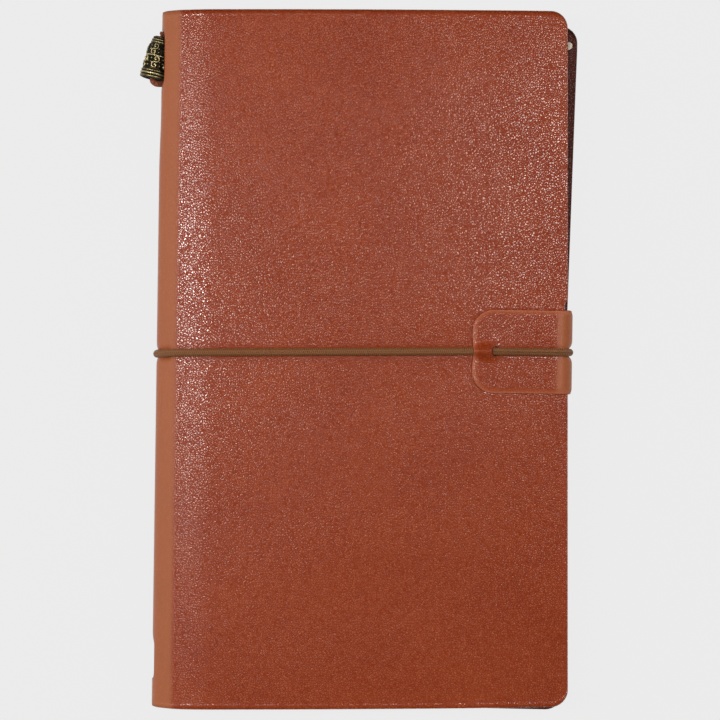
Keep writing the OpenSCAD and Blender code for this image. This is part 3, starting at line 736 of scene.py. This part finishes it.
for sheet_name, depth, thick, material, slot, nodes in (
        ("cover_leather", 0.0, SKIN, COVER_LEATHER, "cover_leather",
         ("back_cover", "spine_wall", "front_fold", "front_cover")),
        ("cover_lining", SKIN, LINING, LINING_LEATHER, "lining_leather",
         ("back_lining", "spine_lining", "front_fold_lining", "front_lining"))):
    sheet = cover_sheet(sheet_name, depth, thick)
    for ends, high in ((HEAD_SLOT, HEAD_SLOT_TOP), (FOOT_SLOT, FOOT_SLOT_TOP)):
        cut(sheet, rounded_slot(ends, high))
    dress(sheet, material, None, slot, *nodes)
    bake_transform(sheet)


# ---------------------------------------------------------------- closure
TOP_C = (TAB_MID_X, float(crown(TAB_MID_X)) + TAB_RISE - TAB_CORNER - 0.2)
LOW_C = (TAB_MID_X, BACK - TAB_RISE + TAB_CORNER)
# The ridge that the cord raises in the tab, and the groove that it lies in past the hole
RIDGE = 2.4
RIDGE_W = 1.9
GROOVE = 0.28
GROOVE_W = 1.35
# The least height of the tab's underside over the table
FLOOR_GAP = 0.06


def front_cover_top(x):
    """The front's face with its fall towards the fore edge."""
    return crown(x) - 0.3 * smooth(x, 108, 131) ** 1.5


def tab_grid(depth, inset):
    """The tab from its tip on the front, round the fore edge, to its tip under the back."""
    corner = TAB_TIP_R - inset
    near = corner * (1 - np.cos(np.linspace(0, math.pi / 2, 12)))
    flat = np.concatenate([near, even(7.4, 12, 0.45), even(13, TAB_MID_X - TAB_TIP, 1.1)])
    half = TAB_H / 2 - inset
    t = np.sort(np.concatenate([np.sin(np.linspace(-math.pi / 2, math.pi / 2, 41)), even(-0.3, 0.3, 0.03)]))
    dy = t * half
    bow = 0.4 * (1 - smooth(np.abs(dy), 0, 10))
    ridge = np.exp(-((dy / RIDGE_W) ** 2))
    trough = GROOVE * np.exp(-((dy / GROOVE_W) ** 2))
    fall = 0.35 * smooth(np.abs(dy), TAB_H / 2 - 1.7, TAB_H / 2 - 0.1)
    edge_share = 1.0 if depth == 0 else 0.3

    def panel(sign):
        made = []
        for d in flat:
            x = TAB_TIP + inset + d + bow * (1 - smooth(d, 0, 9))
            shorten = corner - math.sqrt(max(0.0, corner**2 - max(0.0, corner - d) ** 2))
            y = CORD_Y + dy * (half - shorten) / half
            rise = RIDGE * ridge * (1 - smooth(d, 5.4, 9.2)) * (0.86 + 0.14 * smooth(d, 0, 3))
            groove = trough * smooth(d, 8.6, 11)
            tip = 0.35 * (1 - smooth(d, 0.05, 1.7))
            drop = np.maximum(fall, tip) * (1 - 0.9 * ridge) * edge_share
            if sign > 0:
                z = front_cover_top(x) + TAB_RISE + rise - groove - drop - depth
            else:
                z = BACK - TAB_RISE - np.minimum(rise, BACK - TAB_RISE - FLOOR_GAP) + groove + drop + depth
                z = np.maximum(z, FLOOR_GAP + 0.35 * depth)
            made.append(np.stack([x, y, z], -1))
        return made

    def pulled(angle):
        """How far the cord pulls the fold in."""
        return (GROOVE + 1.5 * math.cos(angle) ** 2) * np.exp(-((dy / 1.7) ** 2))

    rows = panel(1)
    for centre, start, end in ((TOP_C, 82, 0), (LOW_C, 0, -82)):
        for a in np.radians(np.linspace(start, end, 12)):
            r = TAB_CORNER - depth - fall * edge_share
            rows.append(np.stack([centre[0] + (r - pulled(a)) * math.cos(a), CORD_Y + dy,
                                  centre[1] + (r - trough) * math.sin(a)], -1))
    rows += panel(-1)[::-1]
    return np.stack(rows)


outer_tab = tab_grid(0.0, 0.2)
inner_tab = tab_grid(TAB_THICK, 0.2)
rim_tab = (tab_grid(0.0, 0.0) + tab_grid(TAB_THICK, 0.0)) / 2
# The tab's grain runs along it, and starts far enough off to differ from the cover's
GRAIN_OFFSET = 400
tab_line = outer_tab[:, outer_tab.shape[1] // 4]
tab_along = np.concatenate([[0], np.cumsum(np.linalg.norm(np.diff(tab_line, axis=0), axis=1))])
tab_where = np.stack([np.broadcast_to(tab_along[:, None] + GRAIN_OFFSET, outer_tab.shape[:2]),
                      outer_tab[..., 1], np.zeros(outer_tab.shape[:2])], -1)
tab = slab("closure_tab", outer_tab, rim_tab, inner_tab, tab_where)
tab_points = np.array([v.co for v in tab.data.vertices]) / MM - np.array(ORIGIN) / MM
side = TAB_H / 2 - np.abs(tab_points[:, 1] - CORD_Y)
tip = tab_points[:, 0] - TAB_TIP - 0.35 * (1 - smooth(np.abs(tab_points[:, 1] - CORD_Y), 0, 10))
EDGE_WEAR = 1.9
worn = np.clip(1.15 - inside_tab(side, tip) / EDGE_WEAR, 0, 1)
tab.data.attributes["edge"].data.foreach_set("value", worn.astype(np.float32))
# The tab's fold counts as strip too: smoother, and painted paler as the light it catches
store(tab, "strip", smooth(tab_points[:, 0], TAB_MID_X - 1.5, TAB_MID_X + 0.8))
cut(tab, rod("tab_hole_cutter", HOLE_X + 0.4, CORD_Y, -1.0, TOP + 5, HOLE_R))
dress(tab, TAB_LEATHER, "closure", "cover_leather", "closure_tab")


def over_front(x, y, rise):
    """A point at a height over the front's face."""
    return (x, y, float(front_cover_top(x)) + rise)


# How far inside the CAD's box the cords stay
INSIDE = 0.005
loop = [over_front(x, float(cord_y_on_front(x)), CORD_RISE - 0.05) for x in
        (STRAND_END, 92, 76, 60, 45, 30, 20, 13, 9, 6)]
loop += [(p[0] - s, FRONT_ANCHOR_Y + 0.3, p[1])
         for p, s in zip(arc(HIGH_C, HIGH_R + CORD_RISE - 0.1, 118, 172, 5), (0, 0, 0, -0.05, -0.05, 0))]
loop += [(-0.5, FRONT_ANCHOR_Y + 0.15, z) for z in (13.5, 11)]
loop += [(p[0] - s, FRONT_ANCHOR_Y + 0.3, p[1])
         for p, s in zip(arc((LOW_R, BACK + LOW_R), LOW_R + 0.75, 184, 262, 6), (-0.15, -0.1, 0, 0, 0, 0, 0))]
loop += [(x, float(cord_y_on_back(x)), BACK - CORD_RISE) for x in (9, 20, 40, 60, 80, 92, STRAND_END)]
loop = along_curve(loop, 0.55)
loop[:, 2] = np.minimum(loop[:, 2], cad_box[1][2] / MM - CORD_R - INSIDE)
closure_cord = tube("closure_cord", loop, CORD_R, 20)
dress(closure_cord, CLOSURE_ELASTIC, "root", "closure_elastic", "closure_cord_front", "closure_cord_back")

through = [over_front(x, y, rise) for x, y, rise in (
    (STRAND_END - 6, CORD_Y - 0.02, CORD_RISE), (STRAND_END, CORD_Y, CORD_RISE),
    (HOLE_X - 1.2, CORD_Y, CORD_RISE + 0.3), (HOLE_X + 1.4, CORD_Y, TAB_CORD_RISE + 0.1),
    (HOLE_X + 4, CORD_Y, TAB_CORD_RISE - 0.05), (HOLE_X + 9, CORD_Y, TAB_CORD_RISE - 0.1),
    (HOLE_X + 15, CORD_Y, TAB_CORD_RISE - 0.1))]
pull = 1.7 * np.cos(np.radians(np.linspace(80, 0, 8))) ** 2
for fold_centre, start, end, pulls in ((TOP_C, 80, 0, pull), (LOW_C, 0, -80, pull[::-1])):
    fold = arc(fold_centre, TAB_CORNER + CORD_RISE - 0.1, start, end, 7)
    through += [(p[0] - s, CORD_Y, p[1]) for p, s in zip(fold, pulls)]
through += [(HOLE_X + 15, CORD_Y, BACK - TAB_CORD_RISE), (HOLE_X + 4, CORD_Y, BACK - TAB_CORD_RISE),
            (HOLE_X + 1.4, CORD_Y, BACK - TAB_CORD_RISE), (HOLE_X - 1.2, CORD_Y, BACK - CORD_RISE - 0.1),
            (STRAND_END, CORD_Y, BACK - CORD_RISE), (STRAND_END - 6, CORD_Y - 0.02, BACK - CORD_RISE)]
through = along_curve(through, 0.5)
through[:, 2] = np.maximum(through[:, 2], CORD_R + INSIDE)
thin = np.where(through[:, 0] < STRAND_END + 0.3, CORD_R - 0.07, CORD_R)
tab_cord = tube("closure_cord_tab", through, thin, 20)
dress(tab_cord, CLOSURE_ELASTIC, "closure", "closure_elastic", "closure_cord_tab")

knot_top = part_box("closure_knot")[1].z / MM
knot_path = [(9, BACK_ANCHOR_Y, z) for z in even(BACK - 0.4, knot_top - 0.1, 0.4)]
knot_piece = tube("closure_knot", knot_path, CORD_R - 0.1, 20)
dress(knot_piece, CLOSURE_ELASTIC, "root", "closure_elastic", "closure_knot")
for piece in (tab, closure_cord, tab_cord, knot_piece):
    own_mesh(piece)


# ---------------------------------------------------------------- charm: cord, knots and cast bead
def revolve(name, profile, turns, foot, direction, relief=None):
    """A closed ring-shaped solid from a closed (radius, length) outline, turned about a lying axis."""
    profile = np.asarray(profile, float)
    a = np.arange(turns) * 2 * math.pi / turns
    across = np.cross((0, 0, 1), direction)
    radius = np.repeat(profile[:, 0], turns)
    along = np.repeat(profile[:, 1], turns)
    angle = np.tile(a, len(profile))
    height = np.zeros(len(radius)) if relief is None else relief(along, angle, radius)
    radius = radius + height
    points = (np.asarray(foot) + along[:, None] * direction + (radius * np.cos(angle))[:, None] * across
              + (radius * np.sin(angle))[:, None] * np.array((0, 0, 1.0)))
    faces = grid_faces(len(profile), turns, wrap=True)
    last = (len(profile) - 1) * turns
    faces += [(last + k, k, (k + 1) % turns, last + (k + 1) % turns) for k in range(turns)]
    return make_object(name, points, [f[::-1] for f in faces])


def scroll_lines():
    """The raised line of one S-shaped scroll, as points in millimetres round and along the bead."""
    a = np.linspace(0, 2 * math.pi, 40)
    r = 0.84 * (1 - a / a[-1]) ** 0.7 + 0.16
    curl = np.stack([0.15 + r * np.sin(a) * 1.15, 0.92 - r * np.cos(a)], -1)
    middle = np.linspace(-1, 1, 9)[:, None] * curl[0]
    pellets = np.array([[1.75, -1.0], [-1.75, 1.0], [1.62, 0.1], [-1.62, -0.1]])
    return np.concatenate([curl, -curl, middle, pellets])


# Each row of scrolls: its middle along the bead, its height and how many scrolls go round
BEAD_ROWS = ((5.15, 3.9, 6), (9.25, 3.6, 5))
SCROLL = scroll_lines()
SCROLL_HEIGHT = 0.50
SCROLL_W = 0.34
SCROLL_FIELD = 0.28


def bead_relief(along, angle, radius):
    """Height of the cast scrollwork between the rings, in millimetres."""
    bore_side = 2.5
    height = np.zeros(len(along))
    for number, (middle, tall, count) in enumerate(BEAD_ROWS):
        inside = (np.abs(along - middle) < tall / 2) & (radius > bore_side)
        pitch = 2 * math.pi / count
        local = (angle[inside] + number * pitch / 2) % pitch - pitch / 2
        across = local * BEAD_R
        up = (along[inside] - middle) * 3.5 / tall
        best = np.full(inside.sum(), 9.0)
        for shift in (-1, 0, 1):
            gap = (across[:, None] - shift * pitch * BEAD_R - SCROLL[None, :, 0]) ** 2 + (
                up[:, None] - SCROLL[None, :, 1]) ** 2
            best = np.minimum(best, np.sqrt(gap.min(1)))
        edge = smooth(tall / 2 - np.abs(along[inside] - middle), 0, 0.3)
        height[inside] = (SCROLL_HEIGHT * np.exp(-((best / SCROLL_W) ** 2)) - SCROLL_FIELD) * edge
    return height


def bead_profile():
    """The bead's closed outline: bore, foot, and a waisted body with raised rings."""
    r = BEAD_R
    # Each ring: its middle along the bead, half its width and its radius
    rings = [(0.55, 0.46, r - 0.12), (1.50, 0.40, r - 0.02), (2.40, 0.36, r - 0.14),
             (7.22, 0.26, r - 0.42), (11.55, 0.30, r - 1.0), (12.3, 0.34, r - 1.18), (13.05, 0.34, r - 1.45)]
    s = even(0.05, BEAD_LEN - 0.05, 0.075)
    body = np.interp(s, [0, 3.2, 5.3, 7.3, 9.2, 11, 12, BEAD_LEN],
                     [r - 0.6, r - 0.42, r - 0.35, r - 0.62, r - 0.55, r - 1.05, r - 1.5, r - 2.0])
    for middle, width, height in rings:
        arch = 1 - ((s - middle) / width) ** 2
        body = np.maximum(body, np.where(arch > 0, height - 0.32 * (1 - np.sqrt(np.clip(arch, 0, 1))), 0))
    outline = list(zip(body, s))
    bore = CHARM_R + 0.4
    return [(bore, BEAD_LEN - 0.05), (bore, 7.0), (bore, 0.05)][::-1] + [(body[0] - 0.15, 0.0)] + outline


bead_foot = BEAD_POS - BEAD_DIR * BEAD_LEN / 2
bead_top = BEAD_POS + BEAD_DIR * BEAD_LEN / 2
bead = revolve("charm_bead", bead_profile(), 220, bead_foot, BEAD_DIR, bead_relief)
bead_points = np.array([v.co for v in bead.data.vertices]) / MM - np.array(ORIGIN) / MM - bead_foot
bead_along = bead_points @ BEAD_DIR
bead_radius = np.linalg.norm(bead_points - bead_along[:, None] * BEAD_DIR, axis=1)
# Metal above the worn hull is bright, and metal below it dark
worn_hull = BEAD_R - np.interp(bead_along, [0, 2.9, 3.3, 5.3, 7.3, 9.2, 11, 12, BEAD_LEN],
                               [0.2, 0.2, 0.4, 0.35, 0.62, 0.55, 1.0, 1.2, 1.5])
store(bead, "relief", np.clip(0.48 + (bead_radius - worn_hull) * 1.7, 0, 1))
dress(bead, BRONZE, "bead", "bronze", "charm_bead")

pivot = np.array((-1.1, CHARM_Y, BEAD_POS[2]))
# The cord lies this much nearer the head than the joint does
CORD_LIFT = 0.5
charm_path = [pivot + (0.3, CORD_LIFT, 0), pivot + (-0.4, CORD_LIFT + 0.02, 0),
              pivot + (-1.1, CORD_LIFT + 0.2, 0), bead_foot + (0.1, -0.6, 0),
              bead_foot + BEAD_DIR * 0.4, bead_foot + BEAD_DIR * 3, bead_foot + BEAD_DIR * 8,
              bead_top + BEAD_DIR * 0.7]
charm_cord = tube("charm_cord", along_curve(charm_path, 0.3), CHARM_R, 18, up=(0, 0, 1))
dress(charm_cord, WAXED_CORD, "charm", "charm_cord", "charm_cord")


def knot_shape(name, centre, direction, length, radius, seed):
    """A small tight knot: a rounded lump with the cord's turns showing."""
    stations, sides, depth = 15, 36, 0.07
    s = np.linspace(0, math.pi, stations)
    outline = [(max(0.02, radius * math.sin(a) ** 0.6), length * (1 - math.cos(a)) / 2) for a in s]

    def turns(along, angle, r):
        wave = np.sin(2 * angle + along / length * 2 * math.pi * 1.3 + seed)
        return depth * (wave - 1) * (r > 0.5 * radius)

    made = revolve(name, outline, sides, centre, np.asarray(direction, float), turns)
    store(made, "grain", np.stack([np.tile(np.arange(sides) * 0.2, stations),
                                   np.repeat(np.arange(stations) * 0.8, sides),
                                   np.zeros(stations * sides)], -1))
    return made


stop = knot_shape("charm_stop_knot", bead_top + BEAD_DIR * 0.6, BEAD_DIR, 1.25, 1.4, 0.4)
dress(stop, WAXED_CORD, "charm", "charm_cord", "charm_stop_knot")
stub_path = [(x, CHARM_Y + CORD_LIFT, BEAD_POS[2]) for x in even(-0.9, 3.1, 0.5)]
stub = tube("charm_cord_stub", stub_path, CHARM_R, 18)
dress(stub, WAXED_CORD, "root", "charm_cord")
inner_centre = np.array((2.75, CHARM_Y + CORD_LIFT, BEAD_POS[2]))
inner_knot = knot_shape("charm_knot", inner_centre, (1.0, 0.0, 0.0), 2.3, 1.8, 1.1)
dress(inner_knot, WAXED_CORD, "root", "charm_cord", "charm_knot")


# ---------------------------------------------------------------- strands, booklets and zip pouch
def join(objects):
    """Joins objects into the first of them."""
    with bpy.context.temp_override(active_object=objects[0], object=objects[0], selected_objects=objects,
                                   selected_editable_objects=objects):
        bpy.ops.object.join()
    return objects[0]


STRAND_X = 7.5
STRAND_Y = PAGES_BOX[1].y / MM - ORIGIN.y / MM + 3.2
STRAND_R = 0.68
# The booklets stand on FLOOR_IN, one FOLD_PITCH above another at their folds
BOOKLETS = 3
FLOOR_IN = BACK + THICK
FLOOR_CLEAR = 0.2
FOLD_PITCH = 3.6
BOOKLET_TOP = FLOOR_IN + FLOOR_CLEAR + BOOKLETS * FOLD_PITCH
strand_levels = [FLOOR_IN + FLOOR_CLEAR + FOLD_PITCH * (k + 0.5) for k in range(BOOKLETS)]
strand_levels.append(BOOKLET_TOP + 1.25)
# The strands come out of the slots one above another, and bend towards the folds inside
EXIT_LOW = 1.6
EXIT_PITCH = 2.6
BEND_R = 2.2
strand_tubes = []
for number, level in enumerate(strand_levels):
    out = FLOOR_IN + EXIT_LOW + EXIT_PITCH * number
    half = [(1.95, STRAND_Y, out), (2.7, STRAND_Y - 0.05, out + 0.1),
            (4.0, STRAND_Y + 0.1, (out + level) / 2)]
    half += [(STRAND_X - BEND_R + BEND_R * math.sin(a), STRAND_Y - BEND_R + BEND_R * math.cos(a), level)
             for a in np.radians((15, 45, 70, 90))]
    half += [(STRAND_X, STRAND_Y - 4, level), (STRAND_X, STRAND_Y - 9, level)]
    path = half + [(STRAND_X, y, level) for y in (60, 20, -20, -60)]
    path += [(x, -y, z) for x, y, z in half[::-1]]
    strand_tubes.append(tube("insert_strands", along_curve(path, 0.7), STRAND_R, 12, up=(0.3, 0.1, 1)))
dress(join(strand_tubes), STRAND_ELASTIC, "root", "strand_elastic", "insert_strands")

for number in range(1, BOOKLETS + 1):
    for part, material in (("pages", PAPER), ("cover", KRAFT), ("staples", STAPLE_STEEL)):
        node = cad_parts[f"booklet_{number}_{part}"]
        node.data.materials.clear()
        node.data.materials.append(material)

# The pouch lies on the booklets: over their thick middles, then falling to their thinner fore edges
POUCH_X0 = 16.0
POUCH_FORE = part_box("pouch_film")[1].x / MM - ORIGIN.x / MM
POUCH_LIFT = 0.75
POUCH_MID_Z = FLOOR_IN + FLOOR_CLEAR + BOOKLETS * 4.25 + POUCH_LIFT
POUCH_FORE_Z = FLOOR_IN + FLOOR_CLEAR + BOOKLETS * 3.1 + POUCH_LIFT
POUCH_HALF = 104.0
POUCH_LEVEL = strand_levels[-1]


def pouch_middle(x):
    """Height halfway between the pouch's two films."""
    x = np.asarray(x, float)
    far = POUCH_MID_Z + (POUCH_FORE_Z - POUCH_MID_Z) * (x - POUCH_X0) / (POUCH_FORE - POUCH_X0)
    near = POUCH_LEVEL + (POUCH_MID_Z - POUCH_LEVEL) * smooth(x, STRAND_X, POUCH_X0 + 3)
    return np.where(x > POUCH_X0 + 3, far, np.minimum(near, far))


def film_mesh():
    """Two clear films welded along their edges, with a sleeve for the strand at the fold."""
    y = np.unique(np.concatenate([even(-POUCH_HALF, POUCH_HALF, 2.0), even(-POUCH_HALF, -POUCH_HALF + 4, 0.4),
                                  even(POUCH_HALF - 7, POUCH_HALF, 0.4)]))
    xs = np.concatenate([even(STRAND_X, 20, 0.9), even(21.5, 117, 1.9), even(118, POUCH_FORE, 0.5)])

    def film(x, side):
        inner = smooth(POUCH_HALF - np.abs(y), 1.6, 3.2) * float(smooth(POUCH_FORE - x, 2.2, 4.2))
        sleeve = 1 - smooth(x, STRAND_X + 1, STRAND_X + 6)
        seam = 0.5 * math.exp(-((x - 13.0) / 1.5) ** 2)
        half = 0.17 + (0.40 - seam * 0.5) * inner + 0.42 * sleeve
        wave = 0.07 * ripple(x * 2.2, y * 2.2, 9 if side > 0 else 11) * inner
        return np.stack([np.full_like(y, x), y, pouch_middle(x) + side * np.maximum(half, 0.12) + wave], -1)

    sleeve_r = 1.0
    fold = [np.stack([np.full_like(y, STRAND_X + sleeve_r * math.cos(a)), y,
                      np.full_like(y, POUCH_LEVEL + sleeve_r * math.sin(a))], -1)
            for a in np.radians(np.linspace(255, 105, 9))]
    outline = [film(x, -1) for x in xs[::-1]] + fold + [film(x, 1) for x in xs]
    grid = np.stack(outline)
    n, m = grid.shape[:2]
    faces = grid_faces(n, m)
    faces += [((n - 1) * m + j, j, j + 1, (n - 1) * m + j + 1) for j in range(m - 1)]
    ends = [[i * m for i in range(n)][::-1], [i * m + m - 1 for i in range(n)]]
    for ring in ends:
        for k in range(n // 2):
            a, b, c, d = ring[k], ring[k + 1], ring[n - 2 - k], ring[n - 1 - k]
            corners = tuple(dict.fromkeys((a, b, c, d)))
            if len(corners) > 2:
                faces.append(corners)
    return make_object("pouch_film", grid.reshape(-1, 3), faces)


dress(film_mesh(), CLEAR_FILM, "pouch", "clear_film", "pouch_film")

TAPE_BEVEL = 0.05
PART_BEVEL = 0.16
for name, material in (("pouch_zip_tape", ZIP_TAPE), ("pouch_zip_teeth", ZIP_PLASTIC),
                       ("zip_slider", ZIP_PLASTIC), ("zip_pull", ZIP_PLASTIC)):
    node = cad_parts[name]
    node.data.materials.clear()
    node.data.materials.append(material)
    bevel = node.modifiers.new("soft edges", "BEVEL")
    bevel.width = (TAPE_BEVEL if name == "pouch_zip_tape" else PART_BEVEL) * MM
    bevel.segments = 3


# ---------------------------------------------------------------- stage, lights and camera
FLOOR = 3.0
floor_mesh = bpy.data.meshes.new("floor")
floor_mesh.from_pydata([(-FLOOR, -FLOOR, 0), (FLOOR, -FLOOR, 0), (FLOOR, FLOOR, 0), (-FLOOR, FLOOR, 0)], [],
                       [(0, 1, 2, 3)])
floor = bpy.data.objects.new("floor", floor_mesh)
bpy.context.scene.collection.objects.link(floor)
floor_mesh.materials.append(Graph("floor").shade(
    Base_Color=(0.02, 0.02, 0.02), Roughness=1.0, Emission_Color=(0.83, 0.83, 0.83), Emission_Strength=0.98,
    Specular_IOR_Level=0.0))

world = bpy.data.worlds.new("studio")
bpy.context.scene.world = world
world.use_nodes = True
background = world.node_tree.nodes["Background"]
background.inputs["Color"].default_value = (1.0, 1.0, 1.0, 1)
background.inputs["Strength"].default_value = 0.14
bpy.context.scene.view_settings.view_transform = "Standard"


def softbox(name, target, lean, aside, distance, size, power):
    """An area light, leaning from straight above target towards +X by lean and +Y by aside, in degrees."""
    data = bpy.data.lights.new(name, "AREA")
    data.shape = "RECTANGLE"
    data.size, data.size_y = size
    data.energy = power
    light = bpy.data.objects.new(name, data)
    direction = Vector((math.tan(math.radians(lean)), math.tan(math.radians(aside)), 1)).normalized()
    light.location = Vector(target) + direction * distance
    light.rotation_euler = direction.to_track_quat("Z", "Y").to_euler()
    bpy.context.scene.collection.objects.link(light)


softbox("key", (-0.055, 0.02, 0.02), -25, 3, 0.9, (0.085, 0.62), 5.6)
softbox("fill", (0.06, 0.05, 0.02), 21, 8, 0.9, (0.08, 0.42), 1.9)
softbox("left", (-0.07, 0.0, 0.01), -74, 0, 1.0, (0.5, 0.9), 1.5)
SIDE_LIGHTS = ((-56, -50, 0.9), (56, -50, 1.4), (-56, 50, 1.7), (56, 50, 3.0))
for number, (lean, aside, power) in enumerate(SIDE_LIGHTS):
    softbox(f"side_{number}", (0.0, 0.0, 0.01), lean, aside, 1.3, (0.5, 0.5), power)

# The camera looks straight down from 721 mm above the table, turned by less than a degree
camera_data = bpy.data.cameras.new("camera")
camera_data.sensor_width = 36.0
camera_data.lens = 111.25
camera = bpy.data.objects.new("camera", camera_data)
camera.location = to_frame((64.06, 0.59, 721))
camera.rotation_euler = (0, 0, math.radians(0.8))
bpy.context.scene.collection.objects.link(camera)
bpy.context.scene.camera = camera
